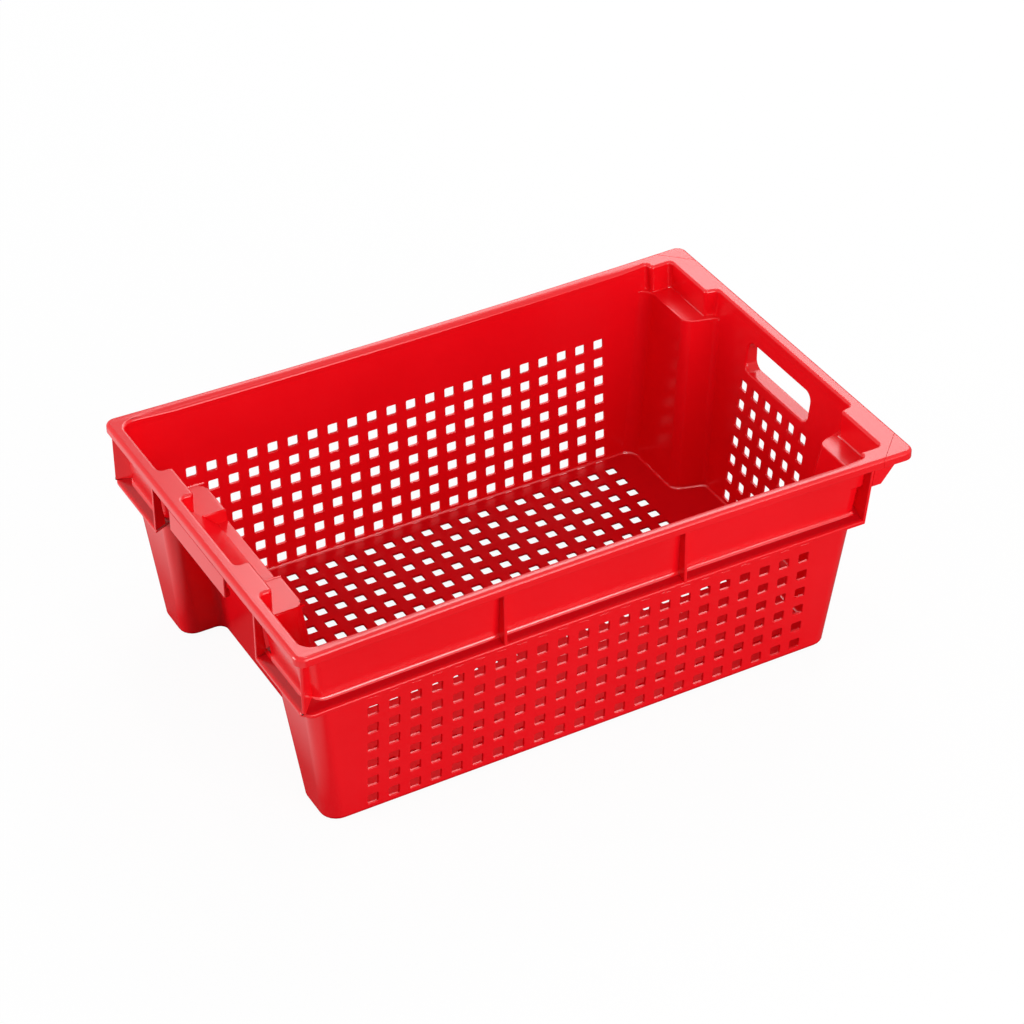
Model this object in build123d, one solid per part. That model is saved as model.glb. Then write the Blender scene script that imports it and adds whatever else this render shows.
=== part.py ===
"""Stack and nest crate: a tapered, perforated tub with a turned-down rim, split into its moulded sections.

Millimetres, +Z up. The origin is on the floor under the middle of the rim. +X points to the slot end, which
has the hand slot, -X to the grip end, which has the grip bar, and -Y to the front. Crates that face the same
way nest. Turned half round, the upper crate stands on the four ledges of the lower one.
"""

import os
from math import atan, sin, tan

from build123d import *

# Overall sizes
LENGTH = 600.0
WIDTH = 391.0
HEIGHT = 206.0
WALL = 3.0

# Taper of the ends and the long sides, as run over rise, and how far the rim stands out past the tub
END_SLOPE = 0.114
SIDE_SLOPE = 0.074
END_OVERHANG = 7.9
SIDE_OVERHANG = 8.4

# Base and its foot pads
BASE_THICKNESS = 3.0
BASE_EDGE_RADIUS = 2.4
PAD_HEIGHT = 1.5
PAD_LENGTH = 30.0
PAD_WIDTH = 9.0
PAD_PITCH = 175.0
PADS_PER_SIDE = 3
PAD_INSET = 6.0

# Grip end: two corner legs with a recess between them
LEG_WIDTH = 53.9
RECESS_DEPTH = 38.6
CORNER_RADIUS = 16.0
LEG_RADIUS = 14.0
RECESS_RADIUS = 8.0

# Slot end: two set-back corner columns with a bulge between them
COLUMN_WIDTH = 75.9
COLUMN_SETBACK = 31.6
COLUMN_RADIUS = 8.0
BULGE_TAPER = 9.0
BULGE_RADIUS = 10.0

# Stacking ledges and the backstops that rise behind them to the rim
LEDGE_HEIGHT = 178.7
LEDGE_THICKNESS = 3.0
GRIP_BACKSTOP_INSET = 24.5
SLOT_BACKSTOP_INSET = 24.0
BACKSTOP_RADIUS = 4.0
SLOT_TAB_TAPER = 3.0
POCKET_INSET = 8.0
POCKET_RADIUS = 3.5

# Scoop and grip bar in the middle of the grip end
SCOOP_SIDE_MARGIN = 31.456
SCOOP_FLOOR = 166.7
SCOOP_FLAT = 10.0
GRIP_OVERLAP = 0.5
GRIP_BOTTOM = 175.7
GRIP_THICKNESS = 3.0
GRIP_BEAD_HEIGHT = 8.0
GRIP_BEAD_DEPTH = 5.5
GRIP_BEAD_RADIUS = 2.5

# Hand slot in the slot end, with a frame that reaches out under the rim
SLOT_SIDE_MARGIN = 13.956
SLOT_BOTTOM = 150.7
SLOT_TOP = 182.7
SLOT_RADIUS = 9.0
SLOT_FRAME_WALL = 3.0
SLOT_FRAME_INSET = 3.0

# Turned-down rim
RIM_DEPTH = 9.3
RIM_PLATE = 3.0
RIM_LIP = 4.0
RIM_CORNER_RADIUS = 10.0
RIM_OUTER_FILLET = 3.5
RIM_INNER_FILLET = 3.0
RIM_CORNER_LEG = 33.0

# Skirt: a flange that slopes down from the wall, round the long sides and grip end corners, and its ribs
SKIRT_ROOT = 148.2
SKIRT_EDGE = 143.7
SKIRT_THICKNESS = 3.5
SKIRT_INSET = 2.0
SKIRT_END_INSET = 4.5
SKIRT_CORNER_RADIUS = 10.0
RIB_THICKNESS = 3.0
RIB_PITCH = 176.0
RIB_MIDDLE = -18.8
RIB_FILLET = 0.8
CORNER_RIB_INSET = 5.5
CORNER_RIB_REACH = 24.0

# Web under each rim corner of the slot end
WEB_TOP_INSET = 19.0
WEB_BOTTOM_INSET = 33.0

# Square perforations
HOLE = 10.2
HOLE_RADIUS = 1.2
PITCH_LONG = 20.26
PITCH_CROSS = 19.9
PITCH_HEIGHT = 20.2
LOWEST_ROW = 13.3
ROW_MARGIN = 5.5
COLUMN_HOLE_MARGIN = 38.0
LEG_HOLE_MARGIN = 41.0
RECESS_HOLE_MARGIN = 37.5
SIDE_HOLE_MARGIN = 18.0

# Where neighbouring sections of the moulding meet
LEG_CUT = 32.0
LEG_STEP = 12.0
RECESS_CUT = 32.0
COLUMN_CUT = 25.0
BULGE_CUT = 30.0

# Values worked out from the sizes above
BASE_HALF_LENGTH = LENGTH / 2 - END_OVERHANG - END_SLOPE * HEIGHT
BASE_HALF_WIDTH = WIDTH / 2 - SIDE_OVERHANG - SIDE_SLOPE * HEIGHT
BASE_TOP = PAD_HEIGHT + BASE_THICKNESS
LEDGE_BOTTOM = LEDGE_HEIGHT - LEDGE_THICKNESS
RIM_BOTTOM = HEIGHT - RIM_DEPTH
SCOOP_HALF_WIDTH = BASE_HALF_WIDTH - LEG_WIDTH - RECESS_CUT - SCOOP_SIDE_MARGIN
GRIP_HALF_WIDTH = SCOOP_HALF_WIDTH + GRIP_OVERLAP
SLOT_HALF_WIDTH = BASE_HALF_WIDTH - COLUMN_WIDTH - BULGE_CUT - SLOT_SIDE_MARGIN
SKIRT_HALF_LENGTH = LENGTH / 2 - SKIRT_END_INSET
SKIRT_HALF_WIDTH = WIDTH / 2 - SKIRT_INSET
FAR = LENGTH + WIDTH
MITRE_ANGLE = 45.0


def half_length(z):
    """Outer half length of the tub at a height."""
    return BASE_HALF_LENGTH + END_SLOPE * z


def half_width(z):
    """Outer half width of the tub at a height."""
    return BASE_HALF_WIDTH + SIDE_SLOPE * z


def leg_inner(z):
    """Distance of a leg's inner side from the middle: the recess narrows upwards."""
    return BASE_HALF_WIDTH - LEG_WIDTH - END_SLOPE * z


def bulge_half_width(z):
    """Half width of the bulge where it leaves the columns: it widens upwards."""
    return BASE_HALF_WIDTH - COLUMN_WIDTH + END_SLOPE * z


def recess_face(z):
    """Distance of the recess wall's outer face from the middle."""
    return half_length(z) - RECESS_DEPTH


def column_face(z):
    """Distance of a column's outer end face from the middle."""
    return half_length(z) - COLUMN_SETBACK


def pocket_face():
    """Distance of a slot end pocket's post from the middle: it rises from the column's inner face."""
    return column_face(LEDGE_HEIGHT) - WALL


def mirrored_face(front_half, z):
    """Closed outline at a height, from the corners (x, y, radius) of its front half."""
    rear_half = [(x, -y, radius) for x, y, radius in reversed(front_half)]
    corners = front_half + rear_half
    points = [(x, y) for x, y, radius in corners]
    radii = [radius for x, y, radius in corners]
    return Pos(0, 0, z) * make_face(FilletPolyline(*points, radius=radii, close=True))


def tub_outline(z):
    """Outer outline of the tub, from its base up to the ledges."""
    front_half = [
        (-recess_face(z), -leg_inner(z), RECESS_RADIUS),
        (-half_length(z), -leg_inner(z), LEG_RADIUS),
        (-half_length(z), -half_width(z), CORNER_RADIUS),
        (column_face(z), -half_width(z), CORNER_RADIUS),
        (column_face(z), -bulge_half_width(z), COLUMN_RADIUS),
        (half_length(z), -bulge_half_width(z) + BULGE_TAPER, BULGE_RADIUS),
    ]
    return mirrored_face(front_half, z)


def frame_outline(z):
    """Inner outline of the frame above the ledges, with the backstops and pockets round the ledges."""
    end = half_length(z) - WALL
    side = half_width(z) - WALL
    grip_stop = LENGTH / 2 - GRIP_BACKSTOP_INSET
    slot_stop = LENGTH / 2 - SLOT_BACKSTOP_INSET
    leg_side = leg_inner(LEDGE_HEIGHT) + WALL
    tab = bulge_half_width(LEDGE_HEIGHT) - WALL
    front_half = [
        (-end, -SCOOP_HALF_WIDTH, BACKSTOP_RADIUS),
        (-grip_stop, -SCOOP_HALF_WIDTH, BACKSTOP_RADIUS),
        (-grip_stop, -leg_side, BACKSTOP_RADIUS),
        (-end, -leg_side, BACKSTOP_RADIUS),
        (-end, -side, CORNER_RADIUS - WALL),
        (pocket_face(), -side, POCKET_RADIUS),
        (pocket_face(), -side + POCKET_INSET, POCKET_RADIUS),
        (slot_stop, -side + POCKET_INSET, BACKSTOP_RADIUS),
        (slot_stop, -tab, BACKSTOP_RADIUS),
        (end, -tab + SLOT_TAB_TAPER, BACKSTOP_RADIUS),
    ]
    return mirrored_face(front_half, z)


def tapered(outline, bottom, top, grow=0.0):
    """Solid between an outline at two heights, with the outline grown by a distance."""
    faces = [outline(bottom), outline(top)]
    if grow:
        faces = [offset(face, grow) for face in faces]
    return loft(faces, ruled=True)


def prism(points, bottom=-HEIGHT, top=2 * HEIGHT):
    """Upright solid on a plan outline."""
    return extrude(Pos(0, 0, bottom) * make_face(Polyline(*points, close=True)), top - bottom, dir=(0, 0, 1))


def block(low, high):
    """Box between two corners."""
    size = [b - a for a, b in zip(low, high)]
    return Pos(*low) * Box(*size, align=(Align.MIN, Align.MIN, Align.MIN))


def side_profile(points, low, high):
    """Solid with an outline in the upright plane along the crate, between two places across it."""
    face = make_face(Polyline(*[(x, high, z) for x, z in points], close=True))
    return extrude(face, high - low, dir=(0, -1, 0))


def end_profile(points, low, high):
    """Solid with an outline in the upright plane across the crate, between two places along it."""
    face = make_face(Polyline(*[(low, y, z) for y, z in points], close=True))
    return extrude(face, high - low, dir=(1, 0, 0))


def rear(part):
    """The same section on the rear side."""
    return mirror(part, about=Plane.XZ)


def holes_in_range(first, last, pitch):
    """How many holes fit between two places, the first hole on the first place."""
    return int((last - first) / pitch) + 1


def centred_places(half, pitch):
    """Places at whole pitches either side of the middle, none of them on it, within a half width."""
    count = holes_in_range(pitch / 2, half, pitch)
    return [side * pitch * (place + 0.5) for place in range(count) for side in (-1, 1)]


def hole_rows():
    """Heights of the rows of holes in the walls, up to the skirt."""
    count = holes_in_range(LOWEST_ROW, SKIRT_ROOT - SKIRT_THICKNESS - ROW_MARGIN, PITCH_HEIGHT)
    return [LOWEST_ROW + row * PITCH_HEIGHT for row in range(count)]


def hole_columns(last):
    """Places along the crate of the columns of holes, from the slot end down to a last place."""
    first = column_face(0) - COLUMN_HOLE_MARGIN
    count = holes_in_range(-first, -last, PITCH_LONG)
    return [first - column * PITCH_LONG for column in range(count)]


def hole():
    """One square perforation."""
    return RectangleRounded(HOLE, HOLE, HOLE_RADIUS)


def base_panel():
    """Perforated base, with the tub's outline and a rounded lower edge."""
    panel = tapered(tub_outline, PAD_HEIGHT, BASE_TOP)
    lower_edges = panel.faces().sort_by(Axis.Z)[0].edges()
    panel = fillet(lower_edges, BASE_EDGE_RADIUS)
    columns = hole_columns(-recess_face(0) + WALL + RECESS_HOLE_MARGIN)
    rows = centred_places(BASE_HALF_WIDTH - WALL - SIDE_HOLE_MARGIN, PITCH_CROSS)
    places = [Pos(x, y) * hole() for x in columns for y in rows]
    return panel - extrude(Sketch() + places, BASE_TOP)


def foot_pads():
    """Low pads under the long edges of the base."""
    y = BASE_HALF_WIDTH - PAD_INSET - PAD_WIDTH / 2
    middle = (PADS_PER_SIDE - 1) / 2
    places = [Pos((pad - middle) * PAD_PITCH, side * y) for pad in range(PADS_PER_SIDE) for side in (-1, 1)]
    pad = RectangleRounded(PAD_LENGTH, PAD_WIDTH, PAD_WIDTH / 3)
    return extrude(Sketch() + [place * pad for place in places], PAD_HEIGHT)


def tub_shell():
    """Wall of the tub from the base to the ledges."""
    return tapered(tub_outline, BASE_TOP, LEDGE_HEIGHT) - tapered(tub_outline, BASE_TOP, LEDGE_HEIGHT, -WALL)


def frame_shell():
    """Wall of the frame from the ledges to the rim."""
    outer = tapered(frame_outline, LEDGE_HEIGHT, RIM_BOTTOM, WALL)
    return outer - tapered(frame_outline, LEDGE_HEIGHT, RIM_BOTTOM)


def leg_region():
    """Plan region of the front leg: the corner and the side of the recess."""
    x_side = -half_length(0) + LEG_CUT
    x_recess = -recess_face(0) + LEG_STEP
    y_recess = -leg_inner(0) + RECESS_CUT
    y_step = -leg_inner(0) - LEG_STEP
    return prism(
        [
            (-FAR, y_recess),
            (x_recess, y_recess),
            (x_recess, y_step),
            (x_side, y_step),
            (x_side, -FAR),
            (-FAR, -FAR),
        ]
    )


def column_region():
    """Plan region of the front column: the corner and the side of the bulge."""
    x_side = column_face(0) - COLUMN_CUT
    y_bulge = -bulge_half_width(0) + BULGE_CUT
    return prism([(x_side, -FAR), (FAR, -FAR), (FAR, y_bulge), (x_side, y_bulge)])


def wall_section(face, bottom, top):
    """Corners of a leaning wall's section, from the function that gives its outer face at a height."""
    return [
        (face(bottom), bottom),
        (face(top), top),
        (face(top) - WALL, top),
        (face(bottom) - WALL, bottom),
    ]


def side_wall():
    """Front long wall, full height, with its rows of holes."""
    left = -half_length(0) + LEG_CUT
    right = column_face(0) - COLUMN_CUT
    section = [(-y, z) for y, z in wall_section(half_width, BASE_TOP, RIM_BOTTOM)]
    wall = end_profile(section, left, right)
    columns = hole_columns(-half_length(0) + LEG_HOLE_MARGIN)
    places = [Pos(x, z) * hole() for x in columns for z in hole_rows()]
    return wall - extrude(Plane.XZ * (Sketch() + places), WIDTH / 2)


def leg(tub, frame):
    """Front corner leg of the grip end, full height up to the rim."""
    region = leg_region()
    upper_limit = -leg_inner(LEDGE_HEIGHT) - WALL
    upper_region = region & prism([(-FAR, -FAR), (0, -FAR), (0, upper_limit), (-FAR, upper_limit)])
    lower = tub & region
    return lower + (frame & upper_region)


def recess_wall():
    """Plain wall of the recess between the legs, cut down under the scoop."""
    y_cut = leg_inner(0) - RECESS_CUT
    section = [(-x, z) for x, z in wall_section(recess_face, BASE_TOP, LEDGE_HEIGHT)]
    wall = side_profile(section, -y_cut, y_cut)
    low = (-LENGTH, -SCOOP_HALF_WIDTH, SCOOP_FLOOR - WALL)
    return wall - block(low, (0, SCOOP_HALF_WIDTH, HEIGHT))


def slot_shape(grow, depth):
    """The hand slot, grown by a distance and cut through along the crate."""
    height = SLOT_TOP - SLOT_BOTTOM + 2 * grow
    shape = RectangleRounded(2 * (SLOT_HALF_WIDTH + grow), height, SLOT_RADIUS + grow)
    return extrude(Plane.YZ * Pos(0, (SLOT_TOP + SLOT_BOTTOM) / 2) * shape, depth)


def slot_end_wall():
    """Middle wall of the slot end, full height, with its holes and the hand slot."""
    y_cut = bulge_half_width(0) - BULGE_CUT
    wall = side_profile(wall_section(half_length, BASE_TOP, RIM_BOTTOM), -y_cut, y_cut)
    rows = centred_places(bulge_half_width(0) - BULGE_TAPER - WALL - SIDE_HOLE_MARGIN, PITCH_CROSS)
    places = [Pos(y, z) * hole() for y in rows for z in hole_rows()]
    wall -= extrude(Plane.YZ * (Sketch() + places), LENGTH / 2)
    return wall - slot_shape(0, LENGTH / 2)


def slot_frame(outside):
    """Sleeve round the hand slot, from the wall out to just inside the rim's lip."""
    reach = LENGTH / 2 - SLOT_FRAME_INSET
    sleeve = slot_shape(SLOT_FRAME_WALL, reach) - slot_shape(0, reach)
    return sleeve - outside


def ledge(region, tub_outside):
    """A stacking ledge: a plate between the tub's wall and the frame's inner faces."""
    return (tapered(frame_outline, LEDGE_BOTTOM, LEDGE_HEIGHT) & region) - tub_outside


def grip_ledge_region():
    """Plan region of the front ledge of the grip end, between the leg and the scoop."""
    near = -leg_inner(LEDGE_BOTTOM)
    far = -SCOOP_HALF_WIDTH
    edge = -recess_face(0)
    return prism([(-FAR, near), (edge, near), (edge, far), (-FAR, far)])


def slot_ledge_region():
    """Plan region of the front ledge of the slot end, inside its pocket."""
    x = pocket_face()
    y = -bulge_half_width(0) + BULGE_CUT
    return prism([(x, -FAR), (FAR, -FAR), (FAR, y), (x, y)])


def backstop(frame, region, ledge_part, tub_outside):
    """The frame's wall round a ledge, with its foot beside the ledge."""
    foot = (tapered(frame_outline, LEDGE_BOTTOM, LEDGE_HEIGHT, WALL) & region) - tub_outside - ledge_part
    return (frame & region) + foot


def grip_backstop_region():
    """Plan region of the front backstop of the grip end, with its two sides."""
    near = -leg_inner(LEDGE_HEIGHT) - WALL
    far = -SCOOP_HALF_WIDTH
    return prism([(-FAR, near), (0, near), (0, far), (-FAR, far)])


def scoop():
    """Finger scoop behind the grip bar: a flat strip, a slope up to the rim and two cheeks."""
    inner_edge = -recess_face(SCOOP_FLOOR) + WALL
    flat_end = inner_edge - SCOOP_FLAT
    top_end = -half_length(RIM_BOTTOM) + WALL
    slope = atan((RIM_BOTTOM - SCOOP_FLOOR) / (flat_end - top_end))
    under_floor = SCOOP_FLOOR - WALL
    under_flat_end = flat_end - WALL * tan(slope / 2)
    under_top_end = top_end - WALL / sin(slope)
    sheet = [
        (inner_edge, SCOOP_FLOOR),
        (flat_end, SCOOP_FLOOR),
        (top_end, RIM_BOTTOM),
        (under_top_end, RIM_BOTTOM),
        (under_flat_end, under_floor),
        (-recess_face(under_floor) + WALL, under_floor),
    ]
    under_ledge_end = under_flat_end - (LEDGE_BOTTOM - under_floor) / tan(slope)
    cheek = [
        (-recess_face(under_floor), under_floor),
        (-recess_face(LEDGE_BOTTOM), LEDGE_BOTTOM),
        (under_ledge_end, LEDGE_BOTTOM),
        (under_flat_end, under_floor),
    ]
    part = side_profile(sheet, -SCOOP_HALF_WIDTH, SCOOP_HALF_WIDTH)
    front_cheek = side_profile(cheek, -SCOOP_HALF_WIDTH - WALL, -SCOOP_HALF_WIDTH)
    return part + front_cheek + rear(front_cheek)


def grip_bar():
    """Plate hanging from the rim over the scoop, with a beaded lower edge."""
    face = -LENGTH / 2
    plate = block(
        (face, -GRIP_HALF_WIDTH, GRIP_BOTTOM),
        (face + GRIP_THICKNESS, GRIP_HALF_WIDTH, RIM_BOTTOM),
    )
    bead = block(
        (face, -GRIP_HALF_WIDTH, GRIP_BOTTOM),
        (face + GRIP_BEAD_DEPTH, GRIP_HALF_WIDTH, GRIP_BOTTOM + GRIP_BEAD_HEIGHT),
    )
    bead = fillet(bead.edges().filter_by(Axis.Y).group_by(Axis.X)[-1], GRIP_BEAD_RADIUS)
    return plate + bead


def rim():
    """Whole rim: a rounded channel, open below, between the frame's inner outline and the outer edge."""
    inner = frame_outline(RIM_BOTTOM)
    outer = Pos(0, 0, RIM_BOTTOM) * RectangleRounded(LENGTH, WIDTH, RIM_CORNER_RADIUS)
    ring = extrude(outer - inner, RIM_DEPTH)
    top = ring.faces().sort_by(Axis.Z)[-1]
    ring = fillet(top.outer_wire().edges(), RIM_OUTER_FILLET)
    top = ring.faces().sort_by(Axis.Z)[-1]
    ring = fillet(top.inner_wires()[0].edges(), RIM_INNER_FILLET)
    channel = offset(outer, -RIM_LIP) - offset(inner, WALL)
    return ring - extrude(channel, RIM_DEPTH - RIM_PLATE)


def corner_region():
    """Plan region of the rim's front corner at the slot end, cut off at 45 degrees."""
    x = LENGTH / 2
    y = -WIDTH / 2
    return prism([(x - RIM_CORNER_LEG, y), (x, y), (x, y + RIM_CORNER_LEG)])


def end_region(direction):
    """Plan region of one end of the rim, mitred at the corners."""
    x = direction * LENGTH / 2
    y = WIDTH / 2
    inner = x - direction * y
    return prism([(x, -y), (x, y), (inner, 0)])


def front_region():
    """Plan region of the front of the rim or skirt, mitred at the corners."""
    x = LENGTH / 2
    y = WIDTH / 2
    return prism([(-x, -y), (x, -y), (x - y, 0), (y - x, 0)])


def skirt_top(distance, root, edge):
    """Height of the flange's sloping top at a distance from the middle, between its root and its edge."""
    return SKIRT_EDGE + (SKIRT_ROOT - SKIRT_EDGE) * (edge - distance) / (edge - root)


def flange_section(root, edge):
    """Section of the sloping flange, run on into the wall so that it meets a rounded corner too."""
    inner = root - CORNER_RADIUS / 2
    top = skirt_top(inner, root, edge)
    return [
        (inner, top),
        (edge, SKIRT_EDGE),
        (edge, SKIRT_EDGE - SKIRT_THICKNESS),
        (inner, top - SKIRT_THICKNESS),
    ]


def rounded_flange(flange, outside):
    """A straight flange with the skirt's rounded corner and edge, cut clear of the tub."""
    outline = RectangleRounded(2 * SKIRT_HALF_LENGTH, 2 * SKIRT_HALF_WIDTH, SKIRT_CORNER_RADIUS)
    return (flange & extrude(outline, HEIGHT)) - outside


def skirt_front(tub_outside):
    """Front flange, from the mitred grip end corner to the plane of the column's end face."""
    section = [(-y, z) for y, z in flange_section(half_width(SKIRT_ROOT), SKIRT_HALF_WIDTH)]
    flange = end_profile(section, -LENGTH / 2, LENGTH / 2) & front_region()
    kept = [(-LENGTH, 0), (column_face(0), 0), (column_face(HEIGHT), HEIGHT), (-LENGTH, HEIGHT)]
    return rounded_flange(flange & side_profile(kept, -WIDTH, 0), tub_outside)


def skirt_end(tub_outside):
    """Front half of the flange at the grip end, up to the cheek beside the recess."""
    section = [(-x, z) for x, z in flange_section(half_length(SKIRT_ROOT), SKIRT_HALF_LENGTH)]
    flange = side_profile(section, -WIDTH / 2, cheek_face()) & end_region(-1)
    return rounded_flange(flange, tub_outside)


def closing_section(face, edge):
    """Section of a rib or cheek between the flange, the wall and the rim's lip."""
    return [
        (-face(SKIRT_ROOT), SKIRT_ROOT),
        (-edge, SKIRT_EDGE),
        (-edge, RIM_BOTTOM),
        (-face(RIM_BOTTOM), RIM_BOTTOM),
    ]


def rib(x):
    """Upright rib on the front flange, between the wall and the rim's lip."""
    part = end_profile(closing_section(half_width, SKIRT_HALF_WIDTH), x - RIB_THICKNESS, x)
    outer_edges = part.edges().filter_by(Axis.Z).group_by(Axis.Y)[0]
    return fillet(outer_edges, RIB_FILLET)


def under_flange(root, edge):
    """Section of everything under the flange's sloping top."""
    inner = root - CORNER_RADIUS / 2
    return [(inner, skirt_top(inner, root, edge)), (edge, SKIRT_EDGE), (edge, 0), (inner, 0)]


def corner_rib(outside):
    """Upright rib on the mitre of the skirt at the front corner of the grip end."""
    low = (0, -RIB_THICKNESS / 2, SKIRT_EDGE)
    high = (CORNER_RIB_REACH, RIB_THICKNESS / 2, RIM_BOTTOM)
    foot = Pos(-LENGTH / 2 + CORNER_RIB_INSET, -WIDTH / 2 + CORNER_RIB_INSET)
    part = foot * Rot(0, 0, MITRE_ANGLE) * block(low, high)
    side = [(-y, z) for y, z in under_flange(half_width(SKIRT_ROOT), SKIRT_HALF_WIDTH)]
    end = [(-x, z) for x, z in under_flange(half_length(SKIRT_ROOT), SKIRT_HALF_LENGTH)]
    part -= end_profile(side, -LENGTH / 2, 0) & front_region()
    part -= side_profile(end, -WIDTH / 2, 0) & end_region(-1)
    for solid in outside:
        part -= solid
    return part


def cheek_face():
    """Place across the crate of the front cheek's inner face, beside the recess."""
    return -leg_inner(LEDGE_HEIGHT) - WALL


def skirt_cheek():
    """Front closing plate of the skirt at the grip end, beside the recess."""
    section = closing_section(half_length, SKIRT_HALF_LENGTH)
    part = side_profile(section, cheek_face() - RIB_THICKNESS, cheek_face())
    outer_edges = part.edges().filter_by(Axis.Z).group_by(Axis.X)[0]
    return fillet(outer_edges, RIB_FILLET)


def skirt_stop(outside):
    """Front closing plate of the skirt at the slot end, in the plane of the column's end face."""
    root = half_width(SKIRT_ROOT)
    inner = root - CORNER_RADIUS / 2
    upper_inner = half_width(RIM_BOTTOM) - WALL
    above_flange = [
        (-inner, skirt_top(inner, root, SKIRT_HALF_WIDTH)),
        (-SKIRT_HALF_WIDTH, SKIRT_EDGE),
        (-SKIRT_HALF_WIDTH, RIM_BOTTOM),
        (-upper_inner, RIM_BOTTOM),
        (-upper_inner, LEDGE_BOTTOM),
        (-inner, LEDGE_BOTTOM),
    ]
    leaning = wall_section(column_face, SKIRT_EDGE, RIM_BOTTOM)
    plate = end_profile(above_flange, 0, LENGTH / 2) & side_profile(leaning, -WIDTH / 2, 0)
    for solid in outside:
        plate -= solid
    return plate


def corner_web():
    """Tapered web under the rim's front corner at the slot end, beside the skirt's closing plate."""
    section = [
        (column_face(RIM_BOTTOM), RIM_BOTTOM),
        (LENGTH / 2 - WEB_TOP_INSET, RIM_BOTTOM),
        (LENGTH / 2 - WEB_BOTTOM_INSET, LEDGE_HEIGHT),
        (column_face(LEDGE_HEIGHT), LEDGE_HEIGHT),
    ]
    return side_profile(section, -SKIRT_HALF_WIDTH, -SKIRT_HALF_WIDTH + RIB_THICKNESS)


def sections():
    """Every section of the crate by name."""
    tub = tub_shell()
    frame = frame_shell()
    tub_outside = tapered(tub_outline, BASE_TOP, LEDGE_HEIGHT)
    frame_outside = tapered(frame_outline, LEDGE_BOTTOM, RIM_BOTTOM, WALL)
    grip_ledge = ledge(grip_ledge_region(), tub_outside)
    slot_ledge = ledge(slot_ledge_region(), tub_outside)
    whole_rim = rim()
    corner = corner_region()
    parts = {
        "base_panel": base_panel(),
        "foot_pads": foot_pads(),
        "recess_wall": recess_wall(),
        "slot_end_wall": slot_end_wall(),
        "slot_frame": slot_frame(tub_outside) - frame_outside,
        "scoop": scoop(),
        "grip_bar": grip_bar(),
        "rim_grip_end": whole_rim & end_region(-1),
        "rim_slot_end": (whole_rim & end_region(1)) - corner - rear(corner),
    }
    pairs = {
        "side_wall": side_wall(),
        "leg": leg(tub, frame),
        "column": tub & column_region(),
        "grip_ledge": grip_ledge,
        "grip_backstop": backstop(frame, grip_backstop_region(), grip_ledge, tub_outside),
        "slot_ledge": slot_ledge,
        "slot_backstop": backstop(frame, column_region(), slot_ledge, tub_outside),
        "rim": (whole_rim & front_region()) - corner,
        "rim_corner": whole_rim & corner,
        "skirt": skirt_front(tub_outside),
        "skirt_end": skirt_end(tub_outside),
        "skirt_cheek": skirt_cheek(),
        "skirt_stop": skirt_stop([tub_outside, frame_outside]),
        "corner_rib": corner_rib([tub_outside, frame_outside]),
        "corner_web": corner_web(),
        "rib_grip": rib(RIB_MIDDLE - RIB_PITCH / 2 + RIB_THICKNESS / 2),
        "rib_slot": rib(RIB_MIDDLE + RIB_PITCH / 2 + RIB_THICKNESS / 2),
    }
    for name, part in pairs.items():
        parts[name + "_front"] = part
        parts[name + "_rear"] = rear(part)
    return parts


def main():
    """Write one file for each section."""
    os.makedirs("parts", exist_ok=True)
    for name, part in sections().items():
        export_step(part, f"parts/{name}.step")


if __name__ == "__main__":
    main()
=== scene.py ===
"""Looks of a stack and nest crate: red moulded plastic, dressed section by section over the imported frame.

Metres, in the frame's own axes: +X points to the slot end, -Y to the front, +Z up. The long walls of the
moulding bow inwards a little between the corners, which every piece follows.
"""

import logging
import math
from collections.abc import Iterable, Iterator
from contextlib import contextmanager
from dataclasses import dataclass, field
from enum import Enum

import bmesh
import bpy
import numpy as np
from mathutils import Matrix, Vector
from mathutils.bvhtree import BVHTree


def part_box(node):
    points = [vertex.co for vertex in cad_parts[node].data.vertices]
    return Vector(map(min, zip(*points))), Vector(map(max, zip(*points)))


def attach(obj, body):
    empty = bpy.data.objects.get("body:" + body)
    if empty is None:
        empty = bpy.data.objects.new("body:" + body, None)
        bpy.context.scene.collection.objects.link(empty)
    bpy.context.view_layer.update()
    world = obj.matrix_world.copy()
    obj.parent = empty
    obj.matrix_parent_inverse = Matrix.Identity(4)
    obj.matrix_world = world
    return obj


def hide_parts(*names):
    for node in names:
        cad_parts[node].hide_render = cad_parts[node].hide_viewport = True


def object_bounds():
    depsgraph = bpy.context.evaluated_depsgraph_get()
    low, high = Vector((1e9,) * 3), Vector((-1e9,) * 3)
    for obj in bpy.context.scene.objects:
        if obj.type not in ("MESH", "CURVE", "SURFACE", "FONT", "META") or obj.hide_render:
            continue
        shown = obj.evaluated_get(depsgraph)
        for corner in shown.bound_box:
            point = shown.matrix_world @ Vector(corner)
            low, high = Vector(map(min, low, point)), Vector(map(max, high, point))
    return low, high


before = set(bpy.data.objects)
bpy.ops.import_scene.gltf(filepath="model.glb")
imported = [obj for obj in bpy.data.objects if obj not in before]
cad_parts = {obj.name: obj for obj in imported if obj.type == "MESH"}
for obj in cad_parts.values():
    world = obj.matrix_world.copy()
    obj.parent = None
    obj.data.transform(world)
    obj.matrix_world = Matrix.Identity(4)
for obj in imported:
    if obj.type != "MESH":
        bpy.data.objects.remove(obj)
CAD_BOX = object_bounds()

LOG = logging.getLogger("crate")
MM = 0.001
BODY = "root"
WHITE = (1.0, 1.0, 1.0, 1.0)
PANEL_ANGLE = math.radians(60.0)
FILLET_ANGLE = math.radians(50.0)
NORMAL_WEIGHT = 80
Point = tuple[float, float]
Triple = tuple[float, float, float]
Line = list[Triple]
Socket = bpy.types.NodeSocket
Mesh = bpy.types.Mesh
Shape = bmesh.types.BMesh


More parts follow.
